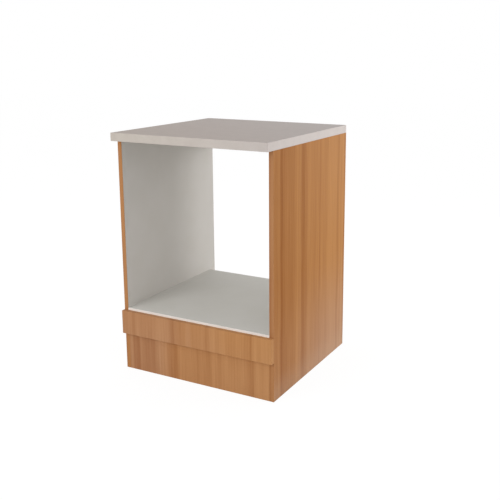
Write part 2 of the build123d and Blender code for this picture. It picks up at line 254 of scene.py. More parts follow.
@dataclass(frozen=True)
class Spot:
    """Where a shader is read, as a vector and axis by axis."""

    bench: Bench
    vector: Signal
    along: dict[Axis, Signal]

    def grid(self, *sizes: float) -> Signal:
        """Counts the place in units of length.

        Args:
            sizes: One unit for all axes, or one for each.

        Returns:
            The vector in those units.
        """
        each = sizes if len(sizes) == len(Axis) else sizes * len(Axis)
        values = {0: self.vector, 1: tuple(1 / size for size in each)}
        node = self.bench.node("ShaderNodeVectorMath", {"operation": "MULTIPLY"}, values)
        return Signal(self.bench, node.outputs[0])


@dataclass(frozen=True)
class Finish:
    """A surface finish. Each kind says in its coat method what varies over it."""

    name: str

    metallic = 0.0
    specular = 0.04  # the boards are matt

    def coat(self, spot: Spot) -> Coat:
        """Gives what varies over the finish, from the spot where it is read."""
        raise NotImplementedError

    def material(self) -> bpy.types.Material:
        """Makes the material, once for each name.

        Returns:
            The material, new or made before.
        """
        made = bpy.data.materials.get(self.name)
        if made is not None:
            return made
        made = bpy.data.materials.new(self.name)
        made.use_nodes = True
        bench = Bench(made.node_tree)
        coat = self.coat(bench.spot())
        relief = {"Strength": 1.0, "Distance": 1.0, "Height": coat.height}
        bump = bench.node("ShaderNodeBump", {}, relief)
        surface = bench.node("ShaderNodeBsdfPrincipled", {}, {
            "Base Color": coat.colour,
            "Roughness": coat.roughness,
            "Metallic": self.metallic,
            "Specular IOR Level": self.specular,
            "Normal": Signal(bench, bump.outputs[0]),
        })
        bench.node("ShaderNodeOutputMaterial", {}, {"Surface": Signal(bench, surface.outputs[0])})
        return made


@dataclass(frozen=True)
class Stripe:
    """A soft stripe of a wood decor, along the grain: its edges and how strong it is."""

    start: float
    end: float
    strength: float  # dark below zero and light above it, or a share of the rosy tone
    softness: float = 0.006

    def signal(self, across: Signal) -> Signal:
        """Its strength inside the stripe and zero outside it, with soft edges.

        Args:
            across: Place across the grain.

        Returns:
            The stripe's signal.
        """
        half = (self.end - self.start) / 2
        off = abs(across - (self.start + self.end) / 2)
        return (1 - off.rise(half - self.softness, half + self.softness)) * self.strength


def total(stripes: tuple[Stripe, ...], across: Signal) -> Signal:
    """Adds the signals of all stripes."""
    first, *others = [stripe.signal(across) for stripe in stripes]
    return sum(others, first)


# Stripes of the decor and of painted shade and light, placed across the front by X and on a side by Y
STRIP_STRIPES = (
    # a broad painted shade over the left half of the front, against the key lamp's brighter light there
    Stripe(-0.320, -0.020, -0.40, 0.060),
    Stripe(-0.302, -0.262, -0.10),
    Stripe(-0.258, -0.244, -0.45, 0.003),
    Stripe(-0.150, -0.108, 0.30, 0.012),
    Stripe(-0.098, -0.078, -0.55, 0.006),
    Stripe(-0.082, -0.050, -0.25, 0.015),
    Stripe(-0.045, -0.012, 0.25, 0.015),
    Stripe(-0.005, 0.001, -0.15, 0.002),
    Stripe(0.045, 0.062, -0.30, 0.005),
    Stripe(0.064, 0.200, 0.22, 0.004),
    Stripe(0.220, 0.227, -0.70, 0.002),
    Stripe(0.229, 0.302, 0.50, 0.002),
    Stripe(0.246, 0.254, -0.30, 0.004),
)
STRIP_ROSY = (
    Stripe(-0.320, -0.060, 0.45, 0.050),
    Stripe(-0.030, -0.010, 0.15),
    Stripe(-0.050, 0.110, 0.15, 0.040),
)
# Partly grain, and partly painted shade from the strip's overhang, which darkens the plinth most on its
# left
PLINTH_STRIPES = (
    Stripe(-0.302, -0.272, -0.45),
    Stripe(-0.268, -0.240, -1.35, 0.006),
    Stripe(-0.240, -0.160, -0.95, 0.020),
    Stripe(-0.150, -0.124, -0.10, 0.012),
    Stripe(-0.114, -0.076, -0.90, 0.010),
    Stripe(-0.058, -0.026, 0.10, 0.012),
    Stripe(0.001, 0.009, -0.40, 0.003),
    Stripe(0.030, 0.060, -0.30, 0.010),
    Stripe(0.062, 0.074, 0.30, 0.004),
    Stripe(0.110, 0.190, 0.30, 0.025),
    Stripe(0.204, 0.226, -0.35, 0.006),
    Stripe(0.219, 0.226, -0.45, 0.002),
    Stripe(0.229, 0.286, 0.45, 0.003),
)
PLINTH_ROSY = (Stripe(-0.320, -0.120, 0.40, 0.040),)
EDGE_STRIPES = (
    Stripe(-0.302, -0.283, -0.50),
    Stripe(0.283, 0.302, -0.50),
    # painted shade along the inner part of the right band, as its rounded edge gets
    Stripe(0.281, 0.291, -0.50, 0.003),
)
EDGE_ROSY = (
    Stripe(-0.302, -0.283, 0.30),
    Stripe(0.283, 0.302, 0.45),
)
RIGHT_STRIPES = (
    # painted shade over the whole right side
    Stripe(-0.320, 0.320, -0.20),
    Stripe(-0.290, -0.217, -0.45, 0.004),
    Stripe(-0.240, -0.226, 0.20, 0.004),
    Stripe(-0.218, -0.204, -1.40, 0.003),
    Stripe(-0.206, -0.188, -0.30, 0.006),
    Stripe(-0.203, -0.122, -0.55, 0.008),
    Stripe(-0.122, -0.106, -0.20, 0.006),
    Stripe(-0.104, -0.094, 0.25, 0.004),
    Stripe(-0.069, -0.046, -1.10, 0.007),
    Stripe(-0.046, -0.024, -0.45, 0.008),
    Stripe(-0.017, 0.003, 0.25, 0.005),
    Stripe(0.038, 0.048, -0.20, 0.004),
    Stripe(0.073, 0.083, -0.45, 0.004),
    Stripe(0.089, 0.106, 0.25, 0.005),
    Stripe(0.142, 0.224, 0.50, 0.010),
    Stripe(0.230, 0.240, -0.25, 0.003),
    Stripe(0.246, 0.288, 0.60, 0.004),
    Stripe(0.259, 0.267, -0.35, 0.003),
    Stripe(0.288, 0.294, -0.40, 0.002),
)
RIGHT_ROSY = (Stripe(-0.270, -0.255, 0.05, 0.003),)
LEFT_STRIPES = (
    Stripe(-0.265, -0.190, 0.30),
    Stripe(-0.180, -0.095, -0.40, 0.015),
    Stripe(-0.060, -0.053, -1.10, 0.002),
    Stripe(-0.030, 0.080, 0.35, 0.020),
    Stripe(0.118, 0.140, -1.00, 0.008),
    Stripe(0.165, 0.240, 0.25, 0.015),
    Stripe(0.250, 0.302, -0.25, 0.010),
)
LEFT_ROSY = (Stripe(-0.060, 0.060, 0.30, 0.040),)
# Painted light from the white floor: how much rosier the print is near it, and less rosy on edge bands
EVEN_FLOOR_LIGHT = (Stripe(-0.320, 0.320, 0.30),)
EDGE_FLOOR_LIGHT = (Stripe(-0.320, 0.320, -0.15),)
SIDE_FLOOR_LIGHT = (
    Stripe(-0.320, -0.090, 0.40, 0.030),
    Stripe(-0.090, 0.320, 0.60, 0.030),
    Stripe(0.020, 0.420, 0.50, 0.120),
)


@dataclass(frozen=True)
class Grain:
    """Noise drawn out along a wood's grain."""

    size: float  # width of its features
    stretch: float  # how much longer than wide they are
    share: float  # how much of the decor's tone it makes
    layer: float  # its place in the noise's third direction, which makes it unlike the others

    def signal(self, bench: Bench, across: Signal, up: Signal) -> Signal:
        """The noise at a place across and along the grain, centred on zero."""
        length = self.size * self.stretch
        return bench.noise(bench.vector(across * (1 / self.size), up * (1 / length), self.layer))


@dataclass(frozen=True)
class BeechDecor(Finish):
    """Printed beech decor with upright grain, soft stripes across it, and painted floor light low down."""

    across: Axis
    stripes: tuple[Stripe, ...]
    rosy_stripes: tuple[Stripe, ...]
    floor_light_stripes: tuple[Stripe, ...]
    dark: Colour = (144, 83, 34)
    light: Colour = (214, 160, 104)
    rosy_dark: Colour = (152, 100, 68)
    rosy_light: Colour = (214, 172, 136)
    contrast_half: float = 0.75  # how far from zero the tone reaches the dark or the light colour
    wander: float = 0.008  # how far the grain strays sideways
    wander_size: float = 0.2  # over what length it does so
    stripe_share: float = 0.22
    bands: Grain = Grain(size=0.018, stretch=40.0, share=0.18, layer=3.0)
    streaks: Grain = Grain(size=0.0062, stretch=40.0, share=0.36, layer=7.0)
    flecks: Grain = Grain(size=0.0009, stretch=10.0, share=0.10, layer=11.0)
    fleck_start: float = 0.12  # noise above which a fleck shows
    fleck_full: float = 0.22  # noise above which it shows in full
    floor_light_height: float = 0.42  # up to where the painted floor light of those stripes reaches
    foot_light_height: float = 0.10  # up to where painted light from the floor makes the print paler
    foot_light_share: float = 0.0  # how much of the painted floor light's pale colour shows right at the floor
    foot_light_colour: Colour = (225, 208, 190)
    roughness: float = 0.50
    gloss_change: float = 0.12
    pore_depth: float = 0.00003

    def coat(self, spot: Spot) -> Coat:
        """Stripes, broad bands, fine streaks and flecks, each by its share, between dark and light.

        Args:
            spot: Where it is read.

        Returns:
            The coat, rosier where the rosy stripes say so, and with painted floor light low down.
        """
        bench = spot.bench
        up = spot.along[Axis.Z]
        straight = spot.along[self.across]
        pace = 1 / self.wander_size
        drift = bench.noise(bench.vector(straight * pace, up * pace, 0.0), detail=1.0)
        across = straight + drift * self.wander
        bands = self.bands.signal(bench, across, up)
        streaks = self.streaks.signal(bench, across, up)
        flecks = self.flecks.signal(bench, across, up).rise(self.fleck_start, self.fleck_full)
        broad = total(self.stripes, across) * self.stripe_share + bands * self.bands.share
        tone = broad + streaks * self.streaks.share - flecks * self.flecks.share
        golden = bench.two_tone(tone, self.contrast_half, self.dark, self.light)
        rosy = bench.two_tone(tone, self.contrast_half, self.rosy_dark, self.rosy_light)
        # painted floor light: rosier near the floor
        low = total(self.floor_light_stripes, across) * (1 - up.rise(0.0, self.floor_light_height))
        print_with_floor_light = bench.blend(total(self.rosy_stripes, across) + low, golden, rosy)
        # painted floor light: paler right at the floor
        foot_light = (1 - up.rise(0.0, self.foot_light_height)) * self.foot_light_share
        return Coat(
            bench.blend(foot_light, print_with_floor_light, linear(self.foot_light_colour)),
            streaks * self.gloss_change + self.roughness,
            (streaks - flecks) * self.pore_depth,
        )


@dataclass(frozen=True)
class PaleMelamine(Finish):
    """Pale grey melamine with a faint pebbled surface."""

    colour: Colour = (211, 209, 204)
    shade: Colour = (208, 206, 200)
    contrast_half: float = 0.3
    cloud_size: float = 0.09
    pebble_size: float = 0.0012
    pebble_share: float = 0.3
    pebble_height: float = 0.00002
    roughness: float = 0.52
    gloss_change: float = 0.08

    def coat(self, spot: Spot) -> Coat:
        """Slow clouds between two close greys, and a fine pebble in the height.

        Args:
            spot: Where it is read.

        Returns:
            The coat.
        """
        bench = spot.bench
        clouds = bench.noise(spot.grid(self.cloud_size))
        pebble = bench.noise(spot.grid(self.pebble_size), detail=1.0)
        tone = clouds + pebble * self.pebble_share
        colour = bench.two_tone(tone, self.contrast_half, self.shade, self.colour)
        return Coat(colour, clouds * self.gloss_change + self.roughness, pebble * self.pebble_height)


@dataclass(frozen=True)
class WorktopLaminate(Finish):
    """Brown-grey laminate with soft mottling and fine grain, and a painted sheen to the rear right."""

    # colour and shade hold the painted sheen in full, which lightens and cools the rear right
    colour: Colour = (185, 176, 172)
    shade: Colour = (176, 167, 163)
    unsheened_colour: Colour = (178, 166, 158)
    unsheened_shade: Colour = (169, 157, 149)
    contrast_half: float = 0.4
    sheen_half: float = 0.75  # how far along X plus Y the painted sheen takes to come in, each way
    mottle_size: float = 0.035
    grain_size: float = 0.0016
    grain_share: float = 0.8
    grain_height: float = 0.00004
    roughness: float = 0.45
    gloss_change: float = 0.1

    def coat(self, spot: Spot) -> Coat:
        """Mottling about 35 mm wide with grain of 1 to 2 mm on top of it, and a painted sheen.

        Args:
            spot: Where it is read.

        Returns:
            The coat.
        """
        bench = spot.bench
        mottle = bench.noise(spot.grid(self.mottle_size), detail=4.0)
        grain = bench.noise(spot.grid(self.grain_size))
        tone = mottle + grain * self.grain_share
        unsheened = bench.two_tone(tone, self.contrast_half, self.unsheened_shade, self.unsheened_colour)
        sheened = bench.two_tone(tone, self.contrast_half, self.shade, self.colour)
        # painted sheen: the tones turn lighter and cooler towards the rear right
        painted_sheen_share = (spot.along[Axis.X] + spot.along[Axis.Y]).rise(-self.sheen_half, self.sheen_half)
        colour = bench.blend(painted_sheen_share, unsheened, sheened)
        return Coat(colour, mottle * self.gloss_change + self.roughness, grain * self.grain_height)


@dataclass(frozen=True)
class Chipboard(Finish):
    """Raw particle board, as it shows on cut edges and in bores. Its flakes lie along the board."""

    thickness: Axis
    pale: Colour = (208, 184, 149)
    brown: Colour = (172, 142, 106)
    brown_tone: float = -0.4  # sum of flakes, dust and patches that gives plain brown
    pale_tone: float = 1.3  # and the one that gives plain pale
    flake_thickness: float = 0.0008
    flake_width: float = 0.0022
    patch_size: float = 0.0132
    flake_height: float = 0.00010
    roughness: float = 0.85
    gloss_change: float = 0.1

    def coat(self, spot: Spot) -> Coat:
        """Flat flakes, each of its own shade, with finer dust between them and darker patches.

        Args:
            spot: Where it is read.

        Returns:
            The coat.
        """
        bench = spot.bench
        sizes = [self.flake_thickness if axis is self.thickness else self.flake_width for axis in Axis]
        flakes = bench.chips(spot.grid(*sizes))
        dust = bench.noise(spot.grid(self.flake_thickness))
        patches = bench.noise(spot.grid(self.patch_size), detail=1.0)
        share = (flakes + dust + patches).rise(self.brown_tone, self.pale_tone)
        colour = bench.blend(share, linear(self.brown), linear(self.pale))
        height = (flakes + dust) * self.flake_height
        return Coat(colour, dust * self.gloss_change + self.roughness, height)


@dataclass(frozen=True)
class CoatedBoard(Finish):
    """A particle board with a decor on one face and a backing on the other, both paper thin."""

    thickness: Axis
    face: float  # where the decor's face lies on that axis
    back: float  # where the backing's face lies
    decor: Finish
    backing: Finish
    paper: float = 0.00025

    def coat(self, spot: Spot) -> Coat:
        """The core, with the backing and then the decor laid over it within a paper's thickness.

        Args:
            spot: Where it is read.

        Returns:
            The coat.
        """
        core = Chipboard("raw_chipboard", self.thickness)
        through = spot.along[self.thickness]
        if self.face > self.back:
            on_face = through.above(self.face - self.paper)
            on_back = through.below(self.back + self.paper)
        else:
            on_face = through.below(self.face + self.paper)
            on_back = through.above(self.back - self.paper)
        backed = spot.bench.blend_coats(on_back, core.coat(spot), self.backing.coat(spot))
        return spot.bench.blend_coats(on_face, backed, self.decor.coat(spot))


@dataclass(frozen=True)
class Mottled(Finish):
    """A finish whose colour, gloss and height all follow one noise."""

    colour: Colour
    shade: Colour
    sizes: tuple[float, ...]  # of the noise's features, one for all axes or one for each
    roughness: float
    gloss_change: float
    relief: float
    detail: float = 3.0
    contrast_half: float = 0.3

    def coat(self, spot: Spot) -> Coat:
        """The shade where the noise is low, and the colour where it is high.

        Args:
            spot: Where it is read.

        Returns:
            The coat.
        """
        noise = spot.bench.noise(spot.grid(*self.sizes), self.detail)
        colour = spot.bench.two_tone(noise, self.contrast_half, self.shade, self.colour)
        return Coat(colour, noise * self.gloss_change + self.roughness, noise * self.relief)


@dataclass(frozen=True)
class Metal(Mottled):
    """Bare metal or metal plating."""

    metallic = 1.0


PALE = PaleMelamine("pale_melamine")
# a lighter, warmer copy of the pale melamine for the side panels' inner faces, which paints light on them
PALE_LIT_SIDE = PaleMelamine("pale_lit_side", colour=(215, 211, 206), shade=(212, 208, 202))
PALE_BAND = PaleMelamine("pale_edge_band", colour=(244, 239, 234), shade=(236, 230, 224))
LAMINATE = WorktopLaminate("worktop_laminate")
TOP_FRONT_BAND = WorktopLaminate(
    "worktop_front_band", colour=(205, 197, 196), shade=(197, 188, 187),
    unsheened_colour=(198, 190, 180), unsheened_shade=(190, 181, 171),
)
END_TONES = ((212, 203, 198), (205, 196, 191))
TOP_END_BAND = WorktopLaminate("worktop_end_band", *END_TONES, *END_TONES)
STRIP_BEECH = BeechDecor("beech_strip", Axis.X, STRIP_STRIPES, STRIP_ROSY, EVEN_FLOOR_LIGHT)
PLINTH_BEECH = BeechDecor("beech_plinth", Axis.X, PLINTH_STRIPES, PLINTH_ROSY, EVEN_FLOOR_LIGHT)
EDGE_BEECH = BeechDecor("beech_edge_band", Axis.X, EDGE_STRIPES, EDGE_ROSY, EDGE_FLOOR_LIGHT)
STEEL = Metal(
    "plated_steel", colour=(206, 209, 212), shade=(184, 187, 192), sizes=(0.004,),
    roughness=0.3, gloss_change=0.18, relief=0.00001,
)
ZINC = Metal(
    "zinc_casting", colour=(158, 159, 161), shade=(126, 128, 131), sizes=(0.0008,),
    roughness=0.6, gloss_change=0.2, relief=0.00004,
)


def reach(node: str, axis: Axis) -> tuple[float, float]:
    """Where a node's box starts and ends along one axis."""
    low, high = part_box(node)
    return low[axis.value], high[axis.value]


def paint(node: str, finish: Finish) -> None:
    """Gives a node of the frame its finish.

    Args:
        node: The node's name.
        finish: What all its faces are made of.
    """
    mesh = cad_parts[node].data
    mesh.materials.clear()
    mesh.materials.append(finish.material())
    log.info("%s is finished in %s", node, finish.name)


def solids(node: str) -> list[np.ndarray]:
    """Splits a node's mesh into its separate solids.

    Corners at the same place get one number. Each triangle then passes the lowest label among its
    corners on to all three, again and again, until every solid has a single label.

    Args:
        node: The node's name.

    Returns:
        The corners of each solid.
    """
    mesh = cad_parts[node].data
    corners = np.empty(len(mesh.vertices) * 3)
    mesh.vertices.foreach_get("co", corners)
    corners = corners.reshape(-1, 3)
    loops = np.empty(len(mesh.loops), dtype=np.int64)
    mesh.loops.foreach_get("vertex_index", loops)
    merged, numbers = np.unique(np.round(corners, MERGE_DIGITS), axis=0, return_inverse=True)
    triangles = numbers.reshape(-1)[loops].reshape(-1, 3)
    labels = np.arange(len(merged))
    while True:
        before = labels.copy()
        np.minimum.at(labels, triangles, labels[triangles].min(axis=1)[:, None])
        if np.array_equal(before, labels):
            return [merged[labels == label] for label in np.unique(labels[triangles])]


@dataclass(frozen=True)
class Seat:
    """Where a fitting stands: the start of its own axis, and the direction of that axis."""

    origin: np.ndarray
    axis: np.ndarray
    length: float

    @classmethod
    def of(cls, corners: np.ndarray, place: Place) -> "Seat":
        """Reads a seat off a fitting's solid.

        Args:
            corners: The solid's corners.
            place: What the fitting's own axis starts from.

        Returns:
            The seat. Its axis runs the solid's longest way. From the widest ring it points to the
            solid's longer side, and it starts at the ring's edge on the other side.
        """
        low, high = corners.min(axis=0), corners.max(axis=0)
        run = int(np.argmax(high - low))
        axis = np.zeros(3)
        axis[run] = 1.0
        middle = (low + high) / 2
        length = float(high[run] - low[run])
        if place is Place.MIDDLE:
            return cls(middle, axis, length)
        off = np.linalg.norm(np.delete(corners - middle, run, axis=1), axis=1)
        wide = corners[off > off.max() - RING_MARGIN][:, run]
        towards_high = high[run] - wide.max() > wide.min() - low[run]
        start = middle.copy()
        start[run] = wide.min() if towards_high else wide.max()
        return cls(start, axis if towards_high else -axis, length)

    def put(self, points: np.ndarray) -> np.ndarray:
        """Moves points from the fitting's own frame, with its axis along Z, into the cabinet's.

        Args:
            points: Points of the fitting.

        Returns:
            The same points where this fitting stands.
        """
        side = np.roll(np.abs(self.axis), 1)
        third = np.cross(self.axis, side)
        return self.origin + points @ np.stack([side, third, self.axis])


def lathe(rings: np.ndarray) -> Shape:
    """Closes a stack of rings into a solid.

    Args:
        rings: Points by ring, by place on the ring and by axis. The rings go up the fitting, and
            each runs counterclockwise seen from above.

    Returns:
        The corners, with the two poles last, and the triangles, all facing outwards.
    """
    count, around = rings.shape[:2]
    corners = np.concatenate([rings.reshape(-1, 3), rings[:1].mean(axis=1), rings[-1:].mean(axis=1)])
    ring, step = np.meshgrid(np.arange(count - 1), np.arange(around), indexing="ij")
    here = (ring * around + step).ravel()
    beside = (ring * around + (step + 1) % around).ravel()
    first = np.stack([here, beside, beside + around], axis=1)
    second = np.stack([here, beside + around, here + around], axis=1)
    turn = np.arange(around)
    after = (turn + 1) % around
    top = (count - 1) * around
    base_fan = np.stack([after, turn, np.full(around, count * around)], axis=1)
    top_fan = np.stack([top + turn, top + after, np.full(around, count * around + 1)], axis=1)
    return corners, np.concatenate([first, second, base_fan, top_fan])


def add_object(name: str, data: bpy.types.ID) -> bpy.types.Object:
    """Makes an object at the origin and links it to the scene.

    Args:
        name: Its name.
        data: Its mesh, lamp or camera.

    Returns:
        The object.
    """
    made = bpy.data.objects.new(name, data)
    bpy.context.scene.collection.objects.link(made)
    return made


def build_piece(name: str, seats: list[Seat], shape: Shape) -> bpy.types.Object:
    """Makes one object with the same shape at every seat.

    Args:
        name: The new piece's name.
        seats: Where its copies stand.
        shape: Corners and triangles in the fitting's own frame.

    Returns:
        The object, with smooth faces up to its sharp edges.
    """
    corners, triangles = shape
    places = np.concatenate([seat.put(corners) for seat in seats])
    faces = np.concatenate([triangles + number * len(corners) for number in range(len(seats))])
    mesh = bpy.data.meshes.new(name)
    mesh.from_pydata(places.tolist(), [], faces.tolist())
    mesh.validate()
    mesh.shade_smooth()
    mesh.set_sharp_from_angle(angle=SHARP_ANGLE)
    return add_object(name, mesh)


def ring_stack(radii: np.ndarray, heights: np.ndarray, angles: np.ndarray) -> np.ndarray:
    """Rings from their radius, height and angle, each by ring, by place on the ring or by both."""
    radii, heights, angles = np.broadcast_arrays(radii, heights, angles)
    return np.stack([radii * np.cos(angles), radii * np.sin(angles), heights], axis=-1)


@dataclass(frozen=True)
class Fastener:
    """What the turned fittings share."""

    around: int = 48
    rings_per_turn: int = 16

    def shape(self, length: float) -> Shape:
        """Gives the whole fitting, from its length over all."""
        raise NotImplementedError

    def angles(self) -> np.ndarray:
        """Angles round a fitting, counterclockwise."""
        return np.linspace(0, 2 * math.pi, self.around, endpoint=False)[None, :]

    def thread(self, low: float, high: float, crest: float, root: float, pitch: float) -> np.ndarray:
        """Rings of a threaded shank.

        The radius runs from root to crest and back once for each pitch of height, as the square of
        a raised cosine, shifted by the share of a turn that the angle has made. So the crest climbs
        as a right-hand helix. It fades into the root at both ends.

        Args:
            low: Height where the thread starts.
            high: Height where it ends.
            crest: Radius of its crest.
            root: Radius of its root.
            pitch: Height of one turn.

        Returns:
            The rings.
        """
        heights = np.linspace(low, high, round((high - low) / pitch * self.rings_per_turn))[:, None]
        ridge = (0.5 - 0.5 * np.cos(2 * math.pi * heights / pitch - self.angles())) ** 2
        fade = np.clip(np.minimum(heights - low, high - heights) / pitch, 0, 1)
        return ring_stack(root + (crest - root) * ridge * fade, heights, self.angles())

    def plain(self, stages: list[tuple[float, float]]) -> np.ndarray:
        """Rings of a smooth turned stretch, from its height and radius at each ring."""
        heights, radii = np.array(stages).T
        return ring_stack(radii[:, None], heights[:, None], self.angles())


@dataclass(frozen=True)
class Screw(Fastener):
    """Pan head chipboard screw with a cross recess, its head's underside at height 0."""

    head_radius: float = 3.4 * MILLIMETRE
    head_height: float = 2.3 * MILLIMETRE
    rim: float = 0.7 * MILLIMETRE  # height of the head's upright side
    dome_power: float = 2.6
    dome_steps: tuple[float, float, int] = (0.06, 1.0, 9)  # first and last share of the way in, rings
    crest: float = 1.69 * MILLIMETRE
    root: float = 1.25 * MILLIMETRE
    pitch: float = 1.6 * MILLIMETRE
    neck: float = 0.4 * MILLIMETRE  # plain length between the head and the thread
    tip: float = 3.0 * MILLIMETRE
    tip_radius: float = 0.12 * MILLIMETRE
    recess_length: float = 1.866 * MILLIMETRE
    recess_half: float = 0.5 * MILLIMETRE
    recess_depth: float = 1.5 * MILLIMETRE
    recess_rise: float = 0.6  # how much of the depth is lost at a bar's end
    recess_steps: tuple[float, float, int] = (0.92, 0.1, 6)  # outermost and innermost size, rings

    def dome(self, radii: np.ndarray) -> np.ndarray:
        """Height of the head's top, which falls with a power of the distance from its middle."""
        fall = self.head_height - self.rim
        return self.head_height - fall * (radii / self.head_radius) ** self.dome_power

    def recess(self) -> np.ndarray:
        """Outline of the cross recess, as the distance from the middle at each angle.

        Two bars cross in the middle. Seen from there, a bar ends at its side or at its end,
        whichever is nearer, and the cross ends where the farther of the two bars does.

        Returns:
            The distances.
        """
        waves = (np.cos(self.angles()), np.sin(self.angles()))
        over, beside = [np.maximum(np.abs(wave), NEAR_ZERO) for wave in waves]
        first = np.minimum(self.recess_length / over, self.recess_half / beside)
        second = np.minimum(self.recess_length / beside, self.recess_half / over)
        return np.maximum(first, second)

    def shape(self, length: float) -> Shape:
        """The whole screw.

        The rings of the dome run from the head's side to the recess's outline. Inside it they are
        the outline made smaller, and sink in a cone that is deepest in the middle.

        Args:
            length: Length over all.

        Returns:
            Corners and triangles.
        """
        low = self.head_height - length
        tip = self.plain([(low, self.tip_radius), (low + self.tip, self.root)])
        shank = self.thread(low + self.tip, -self.neck, self.crest, self.root, self.pitch)
        side = self.plain([(0, self.root), (0, self.head_radius), (self.rim, self.head_radius)])
        outline = self.recess()
        inward = np.linspace(*self.dome_steps)[:, None]
        around = self.head_radius * (1 - inward) + outline * inward
        within = outline * np.linspace(*self.recess_steps)[:, None]
        depth = self.recess_depth * (1 - self.recess_rise * within / self.recess_length)
        heights = np.concatenate([self.dome(around), self.dome(within) - depth])
        head = ring_stack(np.concatenate([around, within]), heights, self.angles())
        return lathe(np.concatenate([tip, shank, side, head]))


@dataclass(frozen=True)
class CamBolt(Fastener):
    """Steel bolt of a cam fitting, its collar on the side panel at height 0 and its head above."""

    crest: float = 2.43 * MILLIMETRE
    root: float = 1.9 * MILLIMETRE
    pitch: float = 1.8 * MILLIMETRE
    collar_radius: float = 3.4 * MILLIMETRE
    collar_height: float = 1.5 * MILLIMETRE
    shank_radius: float = 2.8 * MILLIMETRE
    neck_start: float = 26.5 * MILLIMETRE
    neck_radius: float = 1.7 * MILLIMETRE
    head_middle: float = 34.0 * MILLIMETRE
    head_radius: float = 3.2 * MILLIMETRE
    head_beyond: float = 2.4 * MILLIMETRE
    ball_rings: int = 12
    chamfer: float = 0.2 * MILLIMETRE  # of the collar, and how far under it the thread ends
    taper: float = 1.0 * MILLIMETRE  # length of the tip and of the step down to the neck
    tip_inset: float = 0.6 * MILLIMETRE  # how much thinner than the root the tip is

    def shape(self, length: float) -> Shape:
        """The whole bolt. Its head is a ball: height and radius follow a circle's sine and cosine.

        Args:
            length: Length over all, from which the thread's end follows.

        Returns:
            Corners and triangles.
        """
        top = self.head_middle + self.head_beyond
        low = top - length
        start = -math.acos(self.neck_radius / self.head_radius)
        end = math.asin(self.head_beyond / self.head_radius)
        swing = np.linspace(start, end, self.ball_rings)
        ball_heights = self.head_middle + self.head_radius * np.sin(swing)
        ball_radii = self.head_radius * np.cos(swing)
        stages = [
            (0, self.root),
            (0, self.collar_radius - self.chamfer),
            (self.chamfer, self.collar_radius),
            (self.collar_height - self.chamfer, self.collar_radius),
            (self.collar_height, self.collar_radius - self.chamfer),
            (self.collar_height, self.shank_radius),
            (self.neck_start - self.taper, self.shank_radius),
            (self.neck_start, self.neck_radius),
            *zip(ball_heights, ball_radii),
        ]
        return lathe(np.concatenate([
            self.plain([(low, self.root - self.tip_inset)]),
            self.thread(low + self.taper, -self.chamfer, self.crest, self.root, self.pitch),
            self.plain(stages),
        ]))


@dataclass(frozen=True)
class Dowel(Fastener):
    """Fluted wooden dowel, its middle at height 0."""

    radius: float = 3.95 * MILLIMETRE
    flutes: int = 16
    flute_depth: float = 0.28 * MILLIMETRE
    chamfer: float = 1.0 * MILLIMETRE
    around: int = 96

    def shape(self, length: float) -> Shape:
        """The whole dowel. A cosine of the angle, once for each flute, dents the radius.

        Args:
            length: Length over all.

        Returns:
            Corners and triangles.
        """
        half = length / 2
        heights = np.array([-half, -half + self.chamfer, half - self.chamfer, half])[:, None]
        narrow = self.radius - self.chamfer
        largest = np.array([narrow, self.radius, self.radius, narrow])
        dents = self.flute_depth * (1 - np.cos(self.angles() * self.flutes)) / 2
        return lathe(ring_stack(largest[:, None] - dents, heights, self.angles()))


@dataclass
class FittingSet:
    """A set of like fittings that stands for one node of the frame."""

    node: str
    name: str
    kind: Fastener
    finish: Finish
    slot: str = "zinc_steel"
    place: Place = Place.WIDEST
    turned: bool = False  # the fitting's own axis points away from its longer side

    def build(self) -> None:
        """Makes the set at the seats of the node's solids, as one piece that stands for the node."""
        seats = [Seat.of(corners, self.place) for corners in solids(self.node)]
        if self.turned:
            seats = [Seat(seat.origin, -seat.axis, seat.length) for seat in seats]
        piece = build_piece(self.name, seats, self.kind.shape(seats[0].length))
        piece.data.materials.append(self.finish.material())
        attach(piece, BODY)
        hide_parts(self.node)
        log.info("%s has %d copies", self.name, len(seats))


@dataclass(frozen=True)
class Side:
    """One side of the cabinet, and the stripes of its print."""

    name: str
    outward: int  # 1 where X grows outwards, and -1 where it falls
    stripes: tuple[Stripe, ...]
    rosy_stripes: tuple[Stripe, ...]


@dataclass
class SidePanels:
    """The two side panels and their front bands."""

    sides: tuple[Side, ...] = (
        Side("left", -1, LEFT_STRIPES, LEFT_ROSY),
        Side("right", 1, RIGHT_STRIPES, RIGHT_ROSY),
    )
    # a darker, more saturated copy of the beech's colours for the sides, which paints shade on them
    dark: Colour = (142, 81, 31)
    light: Colour = (212, 156, 96)
    # painted light from the floor at the sides' foot
    foot_light_share: float = 0.12

    def dress(self) -> None:
        """Beech outside, pale melamine inside, raw board on the cut edges."""
        for side in self.sides:
            node = f"side_panel_{side.name}"
            inner, outer = reach(node, Axis.X)[::side.outward]
            decor = BeechDecor(
                f"beech_side_{side.name}", Axis.Y, side.stripes, side.rosy_stripes, SIDE_FLOOR_LIGHT,
                dark=self.dark, light=self.light, foot_light_share=self.foot_light_share,
            )
            board = CoatedBoard(f"side_board_{side.name}", Axis.X, outer, inner, decor, PALE_LIT_SIDE)
            paint(node, board)
            paint(f"side_edging_{side.name}", EDGE_BEECH)


@dataclass
class FrontBoards:
    """The strip across the front, with its bands, and the plinth board."""

    boards: tuple[tuple[str, Finish], ...] = (("front_strip", STRIP_BEECH), ("plinth_board", PLINTH_BEECH))
    bands: tuple[str, ...] = ("strip_long_edgings", "strip_end_edgings")

    def dress(self) -> None:
        """Beech to the front, pale melamine to the rear."""
        for node, decor in self.boards:
            front, rear = reach(node, Axis.Y)
            paint(node, CoatedBoard(f"{node}_finish", Axis.Y, front, rear, decor, PALE))
        for node in self.bands:
            paint(node, STRIP_BEECH)


